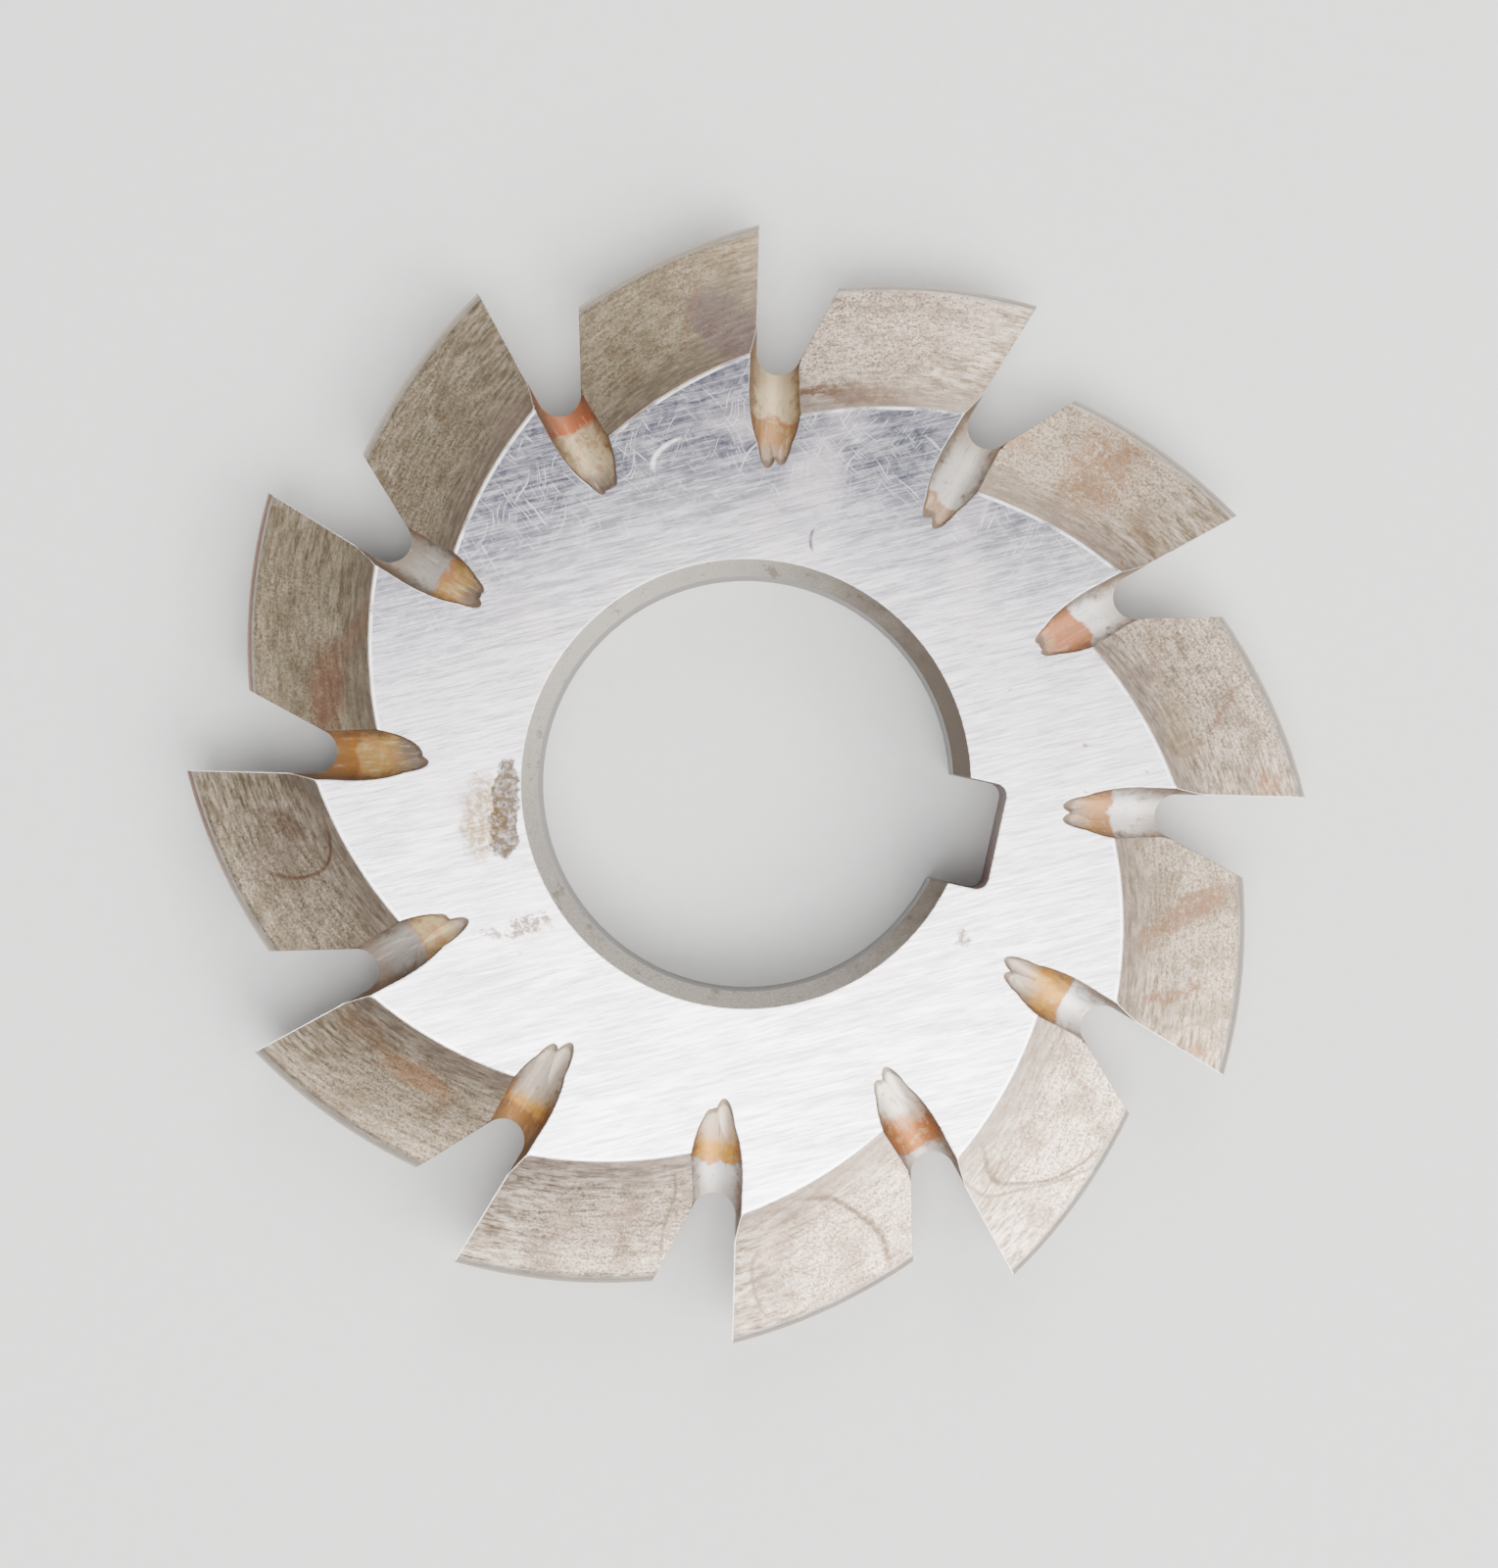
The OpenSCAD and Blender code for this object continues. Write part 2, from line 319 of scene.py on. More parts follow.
def make_groove_finish():
    """Heat tint and rust in the run-out grooves, which cross from the hub into the teeth, with
    painted shade at their walls, rims and outer ends.
    """
    tree, g, out = new_group("groove_finish", {
        "Color": COLOUR, "Roughness": FLOAT, "Height": FLOAT,
    })
    at = read_map(g)

    def share(distance):
        """A distance from the axis as a share of that stretch."""
        return (distance - GROOVES_FROM) / GROOVES_LENGTH

    root = g.choose(at["Gash"], [(*row[0], share(row[1])) for row in GROOVES])
    band = g.choose(at["Gash"], [(*row[2], share(row[3])) for row in GROOVES])
    nose = g.choose(at["Gash"], [row[4] for row in GROOVES])
    place = g.math("DIVIDE", g.math("SUBTRACT", at["Along"], GROOVES_FROM), GROOVES_LENGTH)
    slant = g.noise(g.vector(at["Gash"], 0.5, at["Side"]), 3.3, 0.0)
    slant = g.math("MULTIPLY", g.math("SUBTRACT", slant, 0.5), at["Across"])
    wander = g.noise(g.vector(at["Across"], at["Along"], at["Gash"]), 0.7, 3.0, 0.55)
    wander = g.math("ADD", g.math("SUBTRACT", wander, 0.5), g.math("MULTIPLY", slant, 0.4))
    place = g.math("ADD", place, g.math("MULTIPLY", wander, 0.24))
    to_root = g.math("SUBTRACT", place, root["Alpha"])
    to_nose = g.math("SUBTRACT", place, band["Alpha"])

    patch = g.noise(at["Place"], 1.1, 5.0, 0.7)
    banded = g.blend(g.step(patch, 0.50, 0.60, 0.0, 0.65), band["Color"], SIENNA)
    banded = g.blend(g.step(patch, 0.46, 0.38, 0.0, 0.60), banded, STRAW)
    colour = g.blend(g.step(to_nose, -0.12, 0.10), nose["Color"], banded)
    colour = g.blend(g.step(to_root, -0.010, 0.022), colour, root["Color"])
    tide = g.step(g.math("ABSOLUTE", to_root), 0.030, 0.0, 0.0, 0.45)
    colour = g.blend(tide, colour, BRICK)

    streak_place = g.vector(g.math("MULTIPLY", at["Along"], 0.55),
                            g.math("MULTIPLY", at["Across"], 4.5), at["Gash"])
    streak = g.noise(streak_place, 1.0, 4.0, 0.75)
    cloud = g.noise(at["Place"], 1.7, 5.0, 0.7)
    colour = g.blend(g.step(streak, 0.54, 0.70, 0.0, 0.40), colour, IVORY)
    colour = g.blend(g.step(streak, 0.46, 0.32, 0.0, 0.45), colour, MUD)
    colour = g.blend(g.step(cloud, 0.56, 0.70, 0.0, 0.60), colour, BROWN)
    # Painted shade towards the groove's side walls.
    side_wall_shade = g.math("ABSOLUTE", g.math("ADD", at["Across"], GROOVE_OFFSET))
    side_wall_shade = g.math("ADD", side_wall_shade, g.math("MULTIPLY", g.math("SUBTRACT", cloud, 0.5), 1.2))
    colour = g.blend(g.step(side_wall_shade, 0.80, 1.70, 0.0, 0.85), colour, UMBER)
    # Painted shade at the groove's outer end, by the gash root.
    root_shade = g.step(at["Along"], 25.2, 26.7, 0.0, 0.42)
    colour = g.blend(root_shade, colour, BROWN)
    # Painted shade just under the groove's rim, where it drops from the face.
    below_face = g.math("SUBTRACT", THICKNESS / 2, at["Height"])
    below_face = g.math("ADD", below_face, g.math("MULTIPLY", g.math("SUBTRACT", cloud, 0.5), 0.3))
    outline = g.step(below_face, 0.17, 0.07, 0.0, 0.75)
    colour = g.blend(outline, colour, UMBER)

    ripple_place = g.vector(g.math("MULTIPLY", at["Along"], 3.0), at["Across"], at["Gash"])
    ripple = g.noise(ripple_place, 1.0, 2.0)
    height = g.math("ADD", g.math("MULTIPLY", streak, 0.8), g.math("MULTIPLY", ripple, 0.5))
    g.feed(out["Color"], colour)
    g.feed(out["Roughness"], g.step(streak, 0.25, 0.75, 0.44, 0.60))
    g.feed(out["Height"], height)
    return tree


groove_finish = make_groove_finish()


def towards(g, place, bearing):
    """How far a point lies towards a bearing of the image, counted in bore radii."""
    angle = math.radians(bearing + VIEW_TURN)
    values = {0: place, 1: (math.cos(angle) / BORE_R, math.sin(angle) / BORE_R, 0.0)}
    return g.add("ShaderNodeVectorMath", values, operation="DOT_PRODUCT").outputs[1]


def spot(g, at, x, y, length, width, turn=0.0, soft=0.35, broken=0.35):
    """A stain's strength, from 0 to 1: an oval with a ragged edge, placed on the upper side."""
    frame_place = g.place_on(at["Frayed"], x, y, turn, length / 2, width / 2)
    mask = g.step(g.length(frame_place), 1.0 + soft / 2, 1.0 - soft / 2)
    mask = g.math("MULTIPLY", mask, at["Side"])
    return g.math("MULTIPLY", mask, g.mix(broken, 1.0, at["Mottle"]))


def arc_mark(g, at, x, y, radius, width, start=-180.0, end=180.0):
    """A thin drying mark along part of a circle, fading towards its ends."""
    frame_place = g.place_on(at["Curved"], x, y, (start + end) / 2, radius, radius)
    off = g.math("ABSOLUTE", g.math("SUBTRACT", g.length(frame_place), 1.0))
    line = g.step(off, width / radius, 0.2 * width / radius)
    along, aside, _ = g.split(frame_place)
    swing = g.math("ABSOLUTE", g.math("ARCTAN2", aside, along))
    half = math.radians((end - start) / 2)
    line = g.math("MULTIPLY", line, g.step(swing, half, half * 0.6))
    line = g.math("MULTIPLY", line, g.mix(0.4, 1.0, at["Mottle"]))
    return g.math("MULTIPLY", line, at["Side"])


def edge_light(g, radius):
    """Where an edge is near: 0 on open surfaces, up to 1 on the corner itself; and its normal."""
    rounded = g.add("ShaderNodeBevel", {"Radius": radius}, samples=4).outputs[0]
    flat = g.add("ShaderNodeNewGeometry").outputs["Normal"]
    same = g.add("ShaderNodeVectorMath", {0: rounded, 1: flat}, operation="DOT_PRODUCT").outputs[1]
    return g.step(same, 0.995, 0.90), rounded


def new_material(name):
    """A material with one Principled shader, its graph, and the shader's inputs."""
    material = bpy.data.materials.new(name)
    material.use_nodes = True
    tree = material.node_tree
    tree.nodes.clear()
    graph = Graph(tree)
    shader = graph.add("ShaderNodeBsdfPrincipled")
    output = graph.add("ShaderNodeOutputMaterial")
    graph.feed(output.inputs["Surface"], shader.outputs[0])
    return material, graph, shader.inputs


def ground_face(g, at):
    """The bright hub faces: parallel grinding streaks, a blue-grey film with a painted dark
    reflection towards one side, scratches and stains.
    """
    place = at["Place"]
    fine = g.noise(g.stretch(place, GRIND_DIRECTION, 0.42, 6.0), 1.0, 4.0, 0.72)
    broad = g.noise(g.stretch(place, GRIND_DIRECTION, 0.16, 1.5), 1.0, 3.0, 0.6)
    hair = g.noise(g.stretch(place, GRIND_DIRECTION - 5.0, 0.22, 11.0), 1.0, 2.0, 0.5)
    bent = g.warp(place, 0.2, 1.0, 3.0)
    cross = g.noise(g.stretch(bent, GRIND_DIRECTION + 48.0, 0.34, 8.0), 1.0, 2.0, 0.5)
    slash = g.noise(g.stretch(bent, GRIND_DIRECTION - 62.0, 0.50, 9.0), 1.0, 2.0, 0.5)
    cloud = g.noise(place, 0.34, 5.0, 0.65, 0.4)
    blotch = g.noise(place, 1.3, 5.0, 0.75)
    # The film mask: a blue-grey film and a painted dark reflection, strongest towards one side and
    # outward.
    shade_side = g.math("MULTIPLY", towards(g, place, FILM_AND_REFLECTION_BEARING), BORE_R)
    outward = g.math("MINIMUM", g.step_linear(at["Radius"], 12.6, 22.0), 1.0)
    film = g.math("MULTIPLY", g.step(shade_side, 3.0, 20.0), outward)
    clouded = g.step(cloud, 0.30, 0.56, 0.90, 1.0)
    blotched = g.step(blotch, 0.38, 0.60, 0.80, 1.0)
    film = g.math("MULTIPLY", film, g.math("MULTIPLY", clouded, blotched))
    film = g.math("MULTIPLY", film, g.step(fine, 0.64, 0.42, 0.72, 1.0), clamp=True)
    colour = g.blend(g.step(fine, 0.30, 0.70), (0.40, 0.37, 0.40), (0.95, 0.90, 0.94))
    colour = g.blend(g.step(broad, 0.46, 0.78, 0.0, 0.40), colour, (0.50, 0.48, 0.53))
    colour = g.blend(g.step(hair, 0.60, 0.74, 0.0, 0.5), colour, (0.95, 0.93, 0.95))
    colour = g.blend(film, colour, (0.060, 0.062, 0.088))
    for scratches in (cross, slash):
        scratched = g.math("MULTIPLY", g.step(scratches, 0.62, 0.70, 0.0, 0.62), film)
        colour = g.blend(scratched, colour, (0.80, 0.80, 0.84))
    warm = g.noise(place, 0.16, 2.0, 0.5)
    colour = g.blend(g.step(warm, 0.50, 0.70, 0.0, 0.35), colour, (0.88, 0.78, 0.79))
    crust = g.math("MAXIMUM", spot(g, at, -14.7, -5.9, 1.8, 4.4, 12.0, 0.2, 0.3),
                   spot(g, at, -15.2, -3.4, 1.6, 3.4, 8.0, 0.2, 0.3))
    dried = spot(g, at, -16.3, -5.8, 2.7, 5.4, 12.0, 0.7, 0.6)
    stains = [
        (dried, 0.85, (0.25, 0.155, 0.045)),
        (crust, 0.92, (0.095, 0.062, 0.026)),
        (spot(g, at, -11.8, -12.0, 3.4, 1.3, 30.0, 0.5, 1.0), 0.90, (0.13, 0.08, 0.05)),
        (spot(g, at, -14.0, -12.9, 1.4, 0.9, 0.0, 0.5, 0.9), 0.85, (0.16, 0.11, 0.07)),
        (spot(g, at, 15.8, -6.8, 0.9, 1.2, 0.0, 0.5, 0.8), 0.90, (0.14, 0.09, 0.055)),
        (arc_mark(g, at, 3.2, 17.2, 2.2, 0.16, 165.0, 212.0), 0.90, (0.12, 0.09, 0.10)),
        (arc_mark(g, at, -8.0, 19.2, 2.4, 0.18, 110.0, 185.0), 0.85, (0.95, 0.94, 0.90)),
    ]
    for mask, strength, tone in stains:
        colour = g.blend(g.math("MULTIPLY", mask, strength), colour, tone)
    pit = g.noise(place, 0.9, 1.0, 0.4)
    colour = g.blend(g.step(pit, 0.80, 0.84, 0.0, 0.8), colour, BROWN)
    # A painted highlight along the edge of the hub face where the flanks begin.
    rim_highlight = g.step(g.math("ABSOLUTE", g.math("ADD", at["Depth"], 0.015)), 0.018, 0.006)
    rim_highlight = g.math("MULTIPLY", rim_highlight, g.step(cloud, 0.36, 0.52))
    colour = g.blend(rim_highlight, colour, (0.97, 0.96, 0.96))
    relief = g.math("ADD", g.math("MULTIPLY", fine, 0.6), g.math("MULTIPLY", hair, 0.4))
    roughness = g.math("ADD", g.step(broad, 0.3, 0.75, 0.21, 0.30), g.math("MULTIPLY", film, 0.05))
    roughness = g.mix(g.math("MAXIMUM", crust, g.math("MULTIPLY", dried, 0.4)), roughness, 0.55)
    return colour, roughness, relief


def bore_surfaces(g, at, colour, roughness):
    """Adds the chamfer rings, the bore wall and the keyway to the hub's finish.

    Also gives back how far a point is on a chamfer, from 0 to 1.
    """
    normal = g.add("ShaderNodeNewGeometry").outputs["Normal"]
    upright = g.math("ABSOLUTE", g.split(normal)[2])
    wall = g.step(upright, 0.35, 0.15)
    inner = g.step(at["Radius"], BORE_ZONE_R + 0.1, BORE_ZONE_R - 0.1)
    grain = g.noise(at["Place"], 9.0, 3.0, 0.6)
    sloped = g.math("MULTIPLY", g.step(upright, 0.90, 0.80), inner)
    ring = g.blend(g.step(grain, 0.3, 0.7), (0.28, 0.25, 0.212), (0.43, 0.392, 0.345))
    smears = g.math("SUBTRACT", g.noise(at["Place"], 0.7, 4.0, 0.7), 0.5)
    # Painted light on the chamfer towards the upper left of the image, painted shade towards the
    # right, then smears.
    painted_light_side = g.math("ADD", towards(g, at["Place"], PAINTED_LIGHT_BEARING), smears)
    ring = g.blend(g.step(painted_light_side, 0.40, 1.00, 0.0, 0.22), ring, (0.74, 0.69, 0.62))
    painted_shade_side = g.math("ADD", towards(g, at["Place"], PAINTED_SHADE_BEARING), g.math("MULTIPLY", smears, 0.7))
    ring = g.blend(g.step(painted_shade_side, 0.10, 1.00, 0.0, 0.90), ring, (0.12, 0.093, 0.072))
    ring = g.blend(g.step(smears, 0.08, 0.18, 0.0, 0.55), ring, (0.13, 0.09, 0.06))
    colour = g.blend(sloped, colour, ring)
    roughness = g.mix(sloped, roughness, 0.45)

    # The bore wall and keyway: painted shade, near black, under honing streaks, brown blotches and
    # rust.
    hone = g.noise(g.stretch(at["Place"], 0.0, 0.5, 0.5, 7.0), 1.0, 3.0, 0.6)
    bore = g.blend(g.step(hone, 0.3, 0.7), (0.07, 0.065, 0.06), (0.14, 0.13, 0.125))
    blotch = g.noise(at["Place"], 0.8, 4.0, 0.6)
    bore = g.blend(g.step(blotch, 0.55, 0.72, 0.0, 0.5), bore, BROWN)
    rusty = g.blend(g.step(blotch, 0.40, 0.62), (0.10, 0.070, 0.058), (0.20, 0.085, 0.050))
    bore = g.blend(g.step(at["Radius"], BORE_R + 0.05, BORE_R + 0.3), bore, rusty)
    colour = g.blend(g.math("MULTIPLY", wall, inner), colour, bore)
    roughness = g.mix(g.math("MULTIPLY", wall, inner), roughness, 0.42)
    return colour, roughness, sloped


def gash_wall(g, at):
    """Milled walls of a gash: tool marks along the cutter's axis and a thin brown film."""
    marks = g.noise(g.stretch(at["Place"], 0.0, 5.0, 5.0, 0.35), 1.0, 3.0, 0.6)
    cloud = g.noise(at["Place"], 0.7, 4.0, 0.6)
    colour = g.blend(g.step(marks, 0.3, 0.7), (0.34, 0.32, 0.30), (0.52, 0.50, 0.47))
    colour = g.blend(g.step(cloud, 0.45, 0.72, 0.0, 0.6), colour, TAN)
    return colour, marks


def make_hub_material():
    """The hub: ground faces, grooves, gash walls and bore, with painted highlights on the edges."""
    material, g, shader = new_material("ground_hub_finish")
    at = read_map(g)
    colour, roughness, relief = ground_face(g, at)
    normal = g.add("ShaderNodeNewGeometry").outputs["Normal"]
    upright = g.math("ABSOLUTE", g.split(normal)[2])
    outer = g.step(at["Radius"], GROOVE_ZONE_R, GROOVE_ZONE_R + 0.3)
    groove = g.add("ShaderNodeGroup", node_tree=groove_finish).outputs
    in_groove = g.math("MULTIPLY", outer, g.step(upright, 0.985, 0.965))
    colour = g.blend(in_groove, colour, groove["Color"])
    roughness = g.mix(in_groove, roughness, groove["Roughness"])
    milled, marks = gash_wall(g, at)
    in_gash = g.math("MULTIPLY", outer, g.step(upright, 0.05, 0.02))
    in_gash = g.math("MULTIPLY", in_gash, g.step(at["Along"], 25.5, 26.6))
    from_middle = g.math("ABSOLUTE", g.math("ADD", at["Across"], GASH_ROOT_R))
    between = g.step(from_middle, GASH_ROOT_R + 0.11, GASH_ROOT_R + 0.06)
    in_gash = g.math("MULTIPLY", in_gash, between)
    colour = g.blend(in_gash, colour, milled)
    colour, roughness, chamfer = bore_surfaces(g, at, colour, roughness)

    edge, rounded = edge_light(g, HUB_EDGE)
    edge = g.math("MULTIPLY", edge, g.step(upright, 0.98, 0.995))
    # A painted highlight along the edges of the upright faces.
    colour = g.blend(g.math("MULTIPLY", edge, 0.8), colour, (0.93, 0.92, 0.93))
    roughness = g.mix(edge, roughness, 0.22)
    height = g.mix(in_groove, g.math("MULTIPLY", relief, 0.25), groove["Height"])
    height = g.mix(in_gash, height, marks)
    rounded = g.mix_vector(in_groove, rounded, normal)
    g.feed(shader["Normal"], g.bump(height, FINE_RELIEF, 1.0, rounded))
    g.feed(shader["Base Color"], colour)
    g.feed(shader["Roughness"], roughness)
    dull = g.math("ADD", g.math("MULTIPLY", in_groove, 0.35), g.math("MULTIPLY", chamfer, 0.55))
    g.feed(shader["Metallic"], g.math("SUBTRACT", 1.0, dull, clamp=True))
    return material


def flank_stains(g, at, colour):
    """Stains of single teeth, each placed where it lies on the cutter."""
    stains = [
        (spot(g, at, -7.6, 28.9, 6.4, 3.4, 155.0, 0.5, 0.25), 0.75, PURPLE_GREY),
        (spot(g, at, -7.3, 31.0, 3.6, 3.8, 150.0, 0.8, 0.25), 0.45, (0.30, 0.25, 0.20)),
        (arc_mark(g, at, -6.0, 30.6, 4.4, 0.26, 160.0, 222.0), 0.55, (0.36, 0.19, 0.14)),
        (spot(g, at, -1.2, 25.8, 4.2, 0.7, 14.0, 0.5, 0.5), 0.85, (0.16, 0.085, 0.055)),
        (spot(g, at, 2.4, 26.4, 5.4, 1.5, 10.0, 0.9, 0.6), 0.75, (0.20, 0.13, 0.09)),
        (spot(g, at, 5.2, 25.6, 3.4, 1.1, -6.0, 0.9, 0.6), 0.75, (0.20, 0.13, 0.09)),
        (spot(g, at, 18.4, 25.0, 6.4, 4.6, 66.0, 0.9, 0.9), 0.70, (0.30, 0.16, 0.085)),
        (spot(g, at, 12.4, 25.9, 2.6, 1.6, -30.0, 0.9, 0.5), 0.60, (0.34, 0.20, 0.11)),
        (spot(g, at, 21.8, 21.6, 4.2, 1.4, -30.0, 0.9, 0.7), 0.45, (0.30, 0.20, 0.12)),
        (spot(g, at, 26.6, 10.0, 4.6, 2.0, 108.0, 1.4, 0.5), 0.50, (0.34, 0.25, 0.13)),
        (spot(g, at, 27.9, 8.6, 2.4, 0.7, 40.0, 0.7, 0.5), 0.55, (0.26, 0.17, 0.09)),
        (spot(g, at, 29.7, 12.0, 4.6, 0.34, 70.0, 0.7, 0.5), 0.65, (0.22, 0.12, 0.08)),
        (spot(g, at, 24.2, 14.4, 3.4, 1.4, 100.0, 1.0, 0.8), 0.50, (0.30, 0.19, 0.12)),
        (spot(g, at, 33.4, 7.2, 1.6, 1.4, 0.0, 0.9, 0.7), 0.65, (0.32, 0.16, 0.07)),
        (spot(g, at, 30.3, -1.7, 5.9, 1.8, 41.0, 0.7, 0.5), 0.85, (0.26, 0.145, 0.09)),
        (spot(g, at, 27.9, -4.1, 2.4, 1.1, 45.0, 0.8, 0.6), 0.60, (0.28, 0.16, 0.09)),
        (spot(g, at, 30.1, -7.5, 4.4, 1.1, 29.0, 0.7, 0.7), 0.80, (0.24, 0.13, 0.08)),
        (spot(g, at, 32.1, -10.8, 2.4, 0.9, 20.0, 0.7, 0.6), 0.75, (0.32, 0.16, 0.09)),
        (arc_mark(g, at, 32.4, -11.3, 1.8, 0.18, -10.0, 180.0), 0.70, (0.30, 0.22, 0.16)),
        (arc_mark(g, at, 23.2, -17.2, 4.4, 0.24, -160.0, -5.0), 0.95, (0.13, 0.095, 0.07)),
        (arc_mark(g, at, 21.6, -11.6, 10.5, 0.22, -114.0, -48.0), 0.85, (0.18, 0.13, 0.10)),
        (spot(g, at, 19.4, -22.6, 2.4, 1.2, 20.0, 0.9, 0.6), 0.35, (0.46, 0.34, 0.26)),
        (arc_mark(g, at, 11.0, -30.4, 5.4, 0.28, 10.0, 120.0), 0.95, (0.13, 0.09, 0.065)),
        (arc_mark(g, at, 9.4, -30.8, 2.2, 0.20, 130.0, 350.0), 0.80, (0.22, 0.16, 0.12)),
        (spot(g, at, 8.0, -29.0, 3.4, 1.8, 80.0, 1.0, 0.8), 0.40, (0.50, 0.36, 0.27)),
        (spot(g, at, -5.4, -30.4, 2.4, 2.6, 0.0, 0.9, 0.8), 0.50, (0.38, 0.26, 0.18)),
        (spot(g, at, -2.2, -29.4, 3.0, 1.8, 60.0, 0.9, 0.8), 0.50, (0.40, 0.27, 0.20)),
        (arc_mark(g, at, -3.4, -29.0, 5.0, 0.20, -36.0, 42.0), 0.80, (0.18, 0.13, 0.09)),
        (spot(g, at, -17.0, -23.2, 5.4, 1.6, 158.0, 0.9, 0.5), 0.60, (0.46, 0.22, 0.10)),
        (spot(g, at, -20.9, -21.0, 4.8, 1.6, 160.0, 0.9, 0.5), 0.55, (0.30, 0.18, 0.10)),
        (arc_mark(g, at, -29.0, -10.0, 2.7, 0.22, -118.0, 58.0), 0.85, (0.20, 0.11, 0.07)),
        (spot(g, at, -28.8, -8.9, 2.6, 1.5, -30.0, 0.8, 0.5), 0.75, (0.20, 0.115, 0.065)),
        (spot(g, at, -29.0, -10.0, 4.6, 4.6, 0.0, 0.8, 0.4), 0.25, (0.30, 0.22, 0.18)),
        (spot(g, at, -27.9, 0.0, 6.4, 2.3, 100.0, 0.8, 0.35), 0.65, (0.33, 0.15, 0.09)),
        (spot(g, at, -26.8, 4.4, 5.0, 1.4, 62.0, 0.9, 0.35), 0.50, (0.33, 0.18, 0.11)),
        (spot(g, at, -19.6, 19.6, 3.4, 5.0, 30.0, 1.2, 0.5), 0.30, (0.44, 0.30, 0.24)),
    ]
    for mask, strength, tone in stains:
        colour = g.blend(g.math("MULTIPLY", mask, strength), colour, tone)
    return colour


# Each tooth's flanks: how olive their film is, from 0 for pinkish beige to 1, and how bright
# they are, a factor that paints in the light and shade that fall on each tooth.
FLANKS = [
    (0.26, 1.11), (0.40, 0.76), (0.18, 0.97), (0.85, 0.96), (0.76, 0.99), (0.80, 0.97),
    (0.60, 0.91), (0.60, 0.83), (0.22, 1.10), (0.16, 1.02), (0.12, 1.09), (0.42, 0.93),
]


def relieved_flank(g, at):
    """Satin flanks: streaks that follow the relief curve, a sandy grain, a warm film and stains."""
    path = g.vector(g.math("MULTIPLY", at["Sweep"], 0.8), g.math("MULTIPLY", at["Depth"], 34.0),
                    g.math("MULTIPLY", at["Tooth"], 7.3))
    streak = g.noise(path, 1.0, 5.0, 0.75)
    grain = g.noise(at["Place"], 5.6, 3.0, 0.75)
    cloud = g.noise(at["Place"], 0.42, 5.0, 0.65, 0.3)
    flank = g.choose(at["Tooth"], [(film, film, film, shade) for film, shade in FLANKS])
    film = flank["Color"]
    beige = g.blend(film, (0.86, 0.71, 0.60), (0.585, 0.47, 0.31))
    deep = g.blend(film, (0.11, 0.075, 0.053), (0.30, 0.23, 0.142))
    near_face = g.step(at["Sweep"], 5.0, 0.5)
    near_hub = g.step(at["Depth"], 0.40, 0.05)
    fresh = g.math("ADD", near_face, near_hub, clamp=True)
    sandy = g.mix(g.math("MULTIPLY", fresh, 0.8), 0.62, 0.0)
    lines = g.mix(sandy, streak, grain)
    colour = g.blend(g.step(lines, 0.36, 0.64), deep, beige)
    # Painted glints on the brightest streaks.
    colour = g.blend(g.step(lines, 0.58, 0.72, 0.0, 0.55), colour, (0.90, 0.81, 0.73))
    colour = g.blend(g.step(cloud, 0.46, 0.64, 0.0, 0.50), colour, deep)
    # Darker along the foot of each flank by the hub: painted shade where the form tilts steeper,
    # and dark stains.
    base_line = g.step(at["Depth"], 0.34, 0.0, 0.0, 0.70)
    colour = g.blend(base_line, colour, g.blend(film, (0.33, 0.26, 0.22), (0.26, 0.20, 0.15)))
    colour = flank_stains(g, at, colour)
    pits = g.noise(at["Place"], 4.2, 2.0, 0.6)
    colour = g.blend(g.step(pits, 0.60, 0.70, 0.0, 0.6), colour, BROWN)
    speck = g.noise(at["Place"], 2.0, 2.0, 0.5)
    colour = g.blend(g.step(speck, 0.70, 0.75, 0.0, 0.6), colour, BROWN)
    # Each tooth's colour is scaled by its brightness factor: painted light and shade.
    values = {0: colour, 3: flank["Alpha"]}
    colour = g.add("ShaderNodeVectorMath", values, operation="SCALE").outputs[0]
    height = g.math("ADD", g.math("MULTIPLY", streak, 0.6), g.math("MULTIPLY", grain, 0.5))
    roughness = g.step(streak, 0.25, 0.75, 0.36, 0.48)
    return colour, roughness, height


def groove_wall(g, at):
    """Where a run-out groove cuts a tooth: its round floor and the straight walls above it."""
    past_bend = g.math("MAXIMUM", g.math("SUBTRACT", at["Along"], GROOVE_BEND), 0.0)
    drift = g.math("MULTIPLY", past_bend, math.tan(math.radians(BEND_ANGLE)))
    aside = g.math("ADD", g.math("ADD", at["Across"], GROOVE_OFFSET), drift)
    below_face = g.math("SUBTRACT", THICKNESS / 2, at["Height"])
    tilt = math.radians(GROOVE_TILT)
    axis = GROOVE_END + GROOVE_R / math.sin(tilt)
    drop = g.math("MULTIPLY", g.math("SUBTRACT", at["Along"], axis), math.sin(tilt))
    under_axis = g.math("SUBTRACT", g.math("MULTIPLY", below_face, math.cos(tilt)), drop)
    under_axis = g.math("MAXIMUM", under_axis, 0.0)
    off = g.math("SQRT", g.math("ADD", g.math("MULTIPLY", aside, aside),
                                g.math("MULTIPLY", under_axis, under_axis)))
    return g.step(off, GROOVE_R + 0.05, GROOVE_R + 0.03)


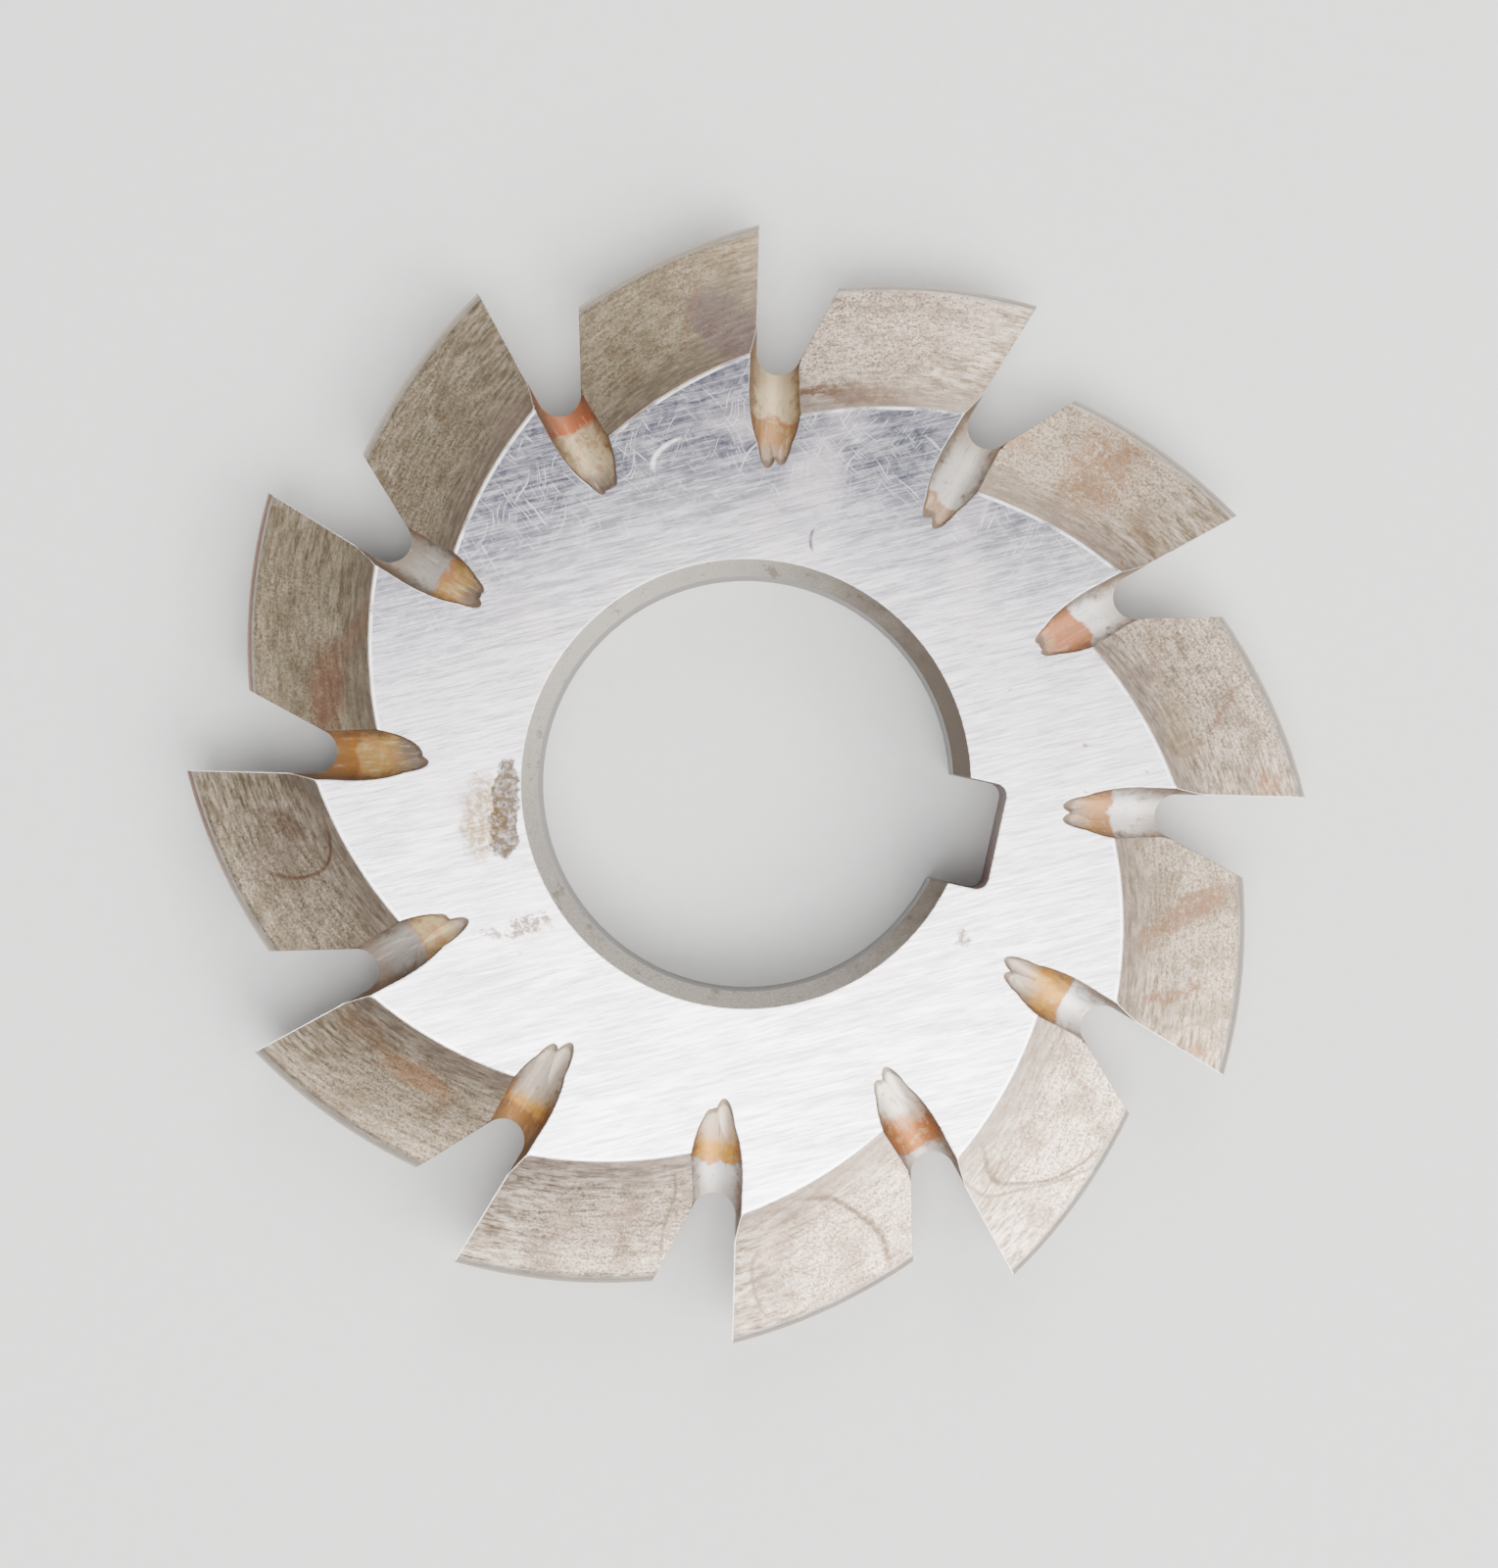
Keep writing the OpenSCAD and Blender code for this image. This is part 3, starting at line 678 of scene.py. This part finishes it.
def make_tooth_material():
    """The teeth: relieved flanks, tip land, gash walls, cutting face and groove walls."""
    material, g, shader = new_material("relieved_tooth_finish")
    at = read_map(g)
    colour, roughness, height = relieved_flank(g, at)
    normal = g.add("ShaderNodeNewGeometry").outputs["Normal"]
    upright = g.math("ABSOLUTE", g.split(normal)[2])

    # The start of the rounded tip corner gets a painted highlight. The steeper rest of it gets
    # painted shade, reddish on the left of the image.
    outside = g.step(at["Depth"], 0.88, 0.93)
    tip_highlight = g.math("MULTIPLY", g.step(upright, 0.93, 0.90), g.step(upright, 0.78, 0.86))
    tip_highlight = g.math("MULTIPLY", tip_highlight, outside)
    colour = g.blend(g.math("MULTIPLY", tip_highlight, 0.55), colour, (0.90, 0.85, 0.80))
    crest = g.math("MULTIPLY", g.step(upright, 0.84, 0.66), g.step(upright, 0.15, 0.50))
    crest = g.math("MULTIPLY", crest, outside)
    leftward = g.step(towards(g, at["Place"], RED_CREST_BEARING), 2.1, 2.6)
    crest_tone = g.blend(leftward, (0.38, 0.34, 0.29), (0.15, 0.075, 0.06))
    colour = g.blend(g.math("MULTIPLY", crest, 0.85), colour, crest_tone)

    milled, marks = gash_wall(g, at)
    standing = g.step(upright, 0.02, 0.01)
    in_gash = g.math("MULTIPLY", standing, g.step(at["Depth"], 0.985, 0.97))
    colour = g.blend(in_gash, colour, milled)
    height = g.mix(in_gash, height, marks)

    face_place = g.vector(g.math("MULTIPLY", at["Along"], 0.4), 0.0,
                          g.math("MULTIPLY", at["Height"], 6.0))
    face_streak = g.noise(face_place, 1.0, 3.0, 0.6)
    ground = g.blend(g.step(face_streak, 0.3, 0.7), (0.26, 0.255, 0.25), (0.46, 0.45, 0.44))
    haze = g.noise(at["Place"], 0.6, 4.0, 0.65)
    ground = g.blend(g.step(haze, 0.48, 0.68, 0.0, 0.45), ground, (0.24, 0.19, 0.15))
    on_face = g.step(g.math("ABSOLUTE", at["Across"]), 0.04, 0.02)
    on_face = g.math("MULTIPLY", on_face, standing)
    colour = g.blend(on_face, colour, ground)
    height = g.mix(on_face, height, face_streak)
    roughness = g.mix(on_face, roughness, 0.32)

    groove = g.add("ShaderNodeGroup", node_tree=groove_finish).outputs
    in_groove = groove_wall(g, at)
    colour = g.blend(in_groove, colour, groove["Color"])
    roughness = g.mix(in_groove, roughness, groove["Roughness"])

    edge, rounded = edge_light(g, TOOTH_EDGE)
    edge = g.math("MULTIPLY", edge, g.step(upright, 0.3, 0.6))
    edge = g.math("MULTIPLY", edge, g.step(g.math("ABSOLUTE", at["Across"]), 0.7, 0.5))
    edge = g.math("MULTIPLY", edge, g.math("SUBTRACT", 1.0, in_groove))
    # A painted highlight along the tooth edges, outside the grooves.
    colour = g.blend(g.math("MULTIPLY", edge, 0.9), colour, (0.93, 0.92, 0.92))
    roughness = g.mix(edge, roughness, 0.24)
    up = g.vector(0.0, 0.0, g.math("MULTIPLY_ADD", at["Side"], 2.0, -1.0))
    rounded = g.mix_vector(edge, rounded, up)
    rounded = g.mix_vector(in_groove, rounded, normal)
    height = g.mix(in_groove, height, groove["Height"])
    g.feed(shader["Normal"], g.bump(height, FINE_RELIEF, 1.0, rounded))
    g.feed(shader["Base Color"], colour)
    g.feed(shader["Roughness"], roughness)
    g.feed(shader["Metallic"], g.mix(in_groove, 1.0, 0.65))
    return material


def dress_cutter():
    """Gives every CAD node its material."""
    hub_finish = make_hub_material()
    tooth_finish = make_tooth_material()
    for name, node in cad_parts.items():
        finish = hub_finish if name == "hub" else tooth_finish
        for slot in node.material_slots:
            slot.material = finish


def make_floor():
    """A plain pale floor."""
    half = 1.5
    mesh = bpy.data.meshes.new("floor")
    corners = [(-half, -half), (half, -half), (half, half), (-half, half)]
    level = cad_low[2] - 0.01 * MM
    mesh.from_pydata([(x, y, level) for x, y in corners], [], [(0, 1, 2, 3)])
    floor = bpy.data.objects.new("floor", mesh)
    bpy.context.scene.collection.objects.link(floor)
    material, g, shader = new_material("pale_floor")
    place = g.add("ShaderNodeTexCoord").outputs["Object"]
    grain = g.noise(place, 900.0, 3.0, 0.6)
    g.feed(shader["Base Color"], g.blend(grain, (0.70, 0.70, 0.69), (0.78, 0.78, 0.77)))
    g.feed(shader["Normal"], g.bump(grain, 0.05 * MM, 0.4))
    shader["Roughness"].default_value = 0.75
    mesh.materials.append(material)


def aim(thing, place, target):
    """Puts a lamp at a place and points it at a target."""
    direction = Vector(target) - Vector(place)
    turn = direction.to_track_quat("-Z", "Y").to_matrix().to_4x4()
    thing.matrix_world = Matrix.Translation(place) @ turn


def add_softbox(name, bearing, lean, distance, size, power, tint):
    """A round lamp seen in one direction: bearing round the image, lean away from straight up."""
    lamp = bpy.data.lights.new(name, "AREA")
    lamp.shape = "DISK"
    lamp.size = size
    lamp.energy = power
    lamp.color = tint
    around = math.radians(bearing + VIEW_TURN)
    away = math.radians(lean)
    place = Vector((
        distance * math.sin(away) * math.cos(around),
        distance * math.sin(away) * math.sin(around),
        distance * math.cos(away),
    ))
    box = bpy.data.objects.new(name, lamp)
    bpy.context.scene.collection.objects.link(box)
    aim(box, place, (0.0, 0.0, 0.0))


DAYLIGHT = (1.0, 0.985, 0.955)

# Name, bearing, lean, distance and width in metres, watts, tint.
LAMPS = [
    ("overhead", -90.0, 17.0, 0.84, 0.50, 7.8, (1.0, 0.995, 0.985)),
    ("window", -46.0, 46.0, 0.85, 0.70, 11.5, DAYLIGHT),
    ("right", 6.0, 47.0, 0.85, 0.40, 1.5, DAYLIGHT),
    ("side", 72.0, 49.0, 0.85, 0.55, 4.1, DAYLIGHT),
]


def light_studio():
    """Soft lamps, and an even pale sky for what the metal mirrors elsewhere."""
    for lamp in LAMPS:
        add_softbox(*lamp)
    world = bpy.data.worlds.new("studio")
    world.use_nodes = True
    background = world.node_tree.nodes["Background"]
    background.inputs["Color"].default_value = (0.90, 0.94, 1.0, 1.0)
    background.inputs["Strength"].default_value = 0.50
    bpy.context.scene.world = world


def add_camera():
    """Looks straight down the bore axis from 320 mm above the upper hub face."""
    height = 320 * MM
    seen_height = 101.65 * MM
    aside = 0.2 * MM
    turn = math.radians(VIEW_TURN)
    camera = bpy.data.cameras.new("camera")
    camera.sensor_width = 36.0
    camera.lens = camera.sensor_width * height / seen_height
    camera.clip_start = 0.01
    camera.clip_end = 10.0
    holder = bpy.data.objects.new("camera", camera)
    holder.location = (aside * math.cos(turn), aside * math.sin(turn), cad_high[2] + height)
    holder.rotation_euler = (0.0, 0.0, turn)
    bpy.context.scene.collection.objects.link(holder)
    bpy.context.scene.camera = holder


add_camera()
make_floor()
light_studio()
dress_cutter()
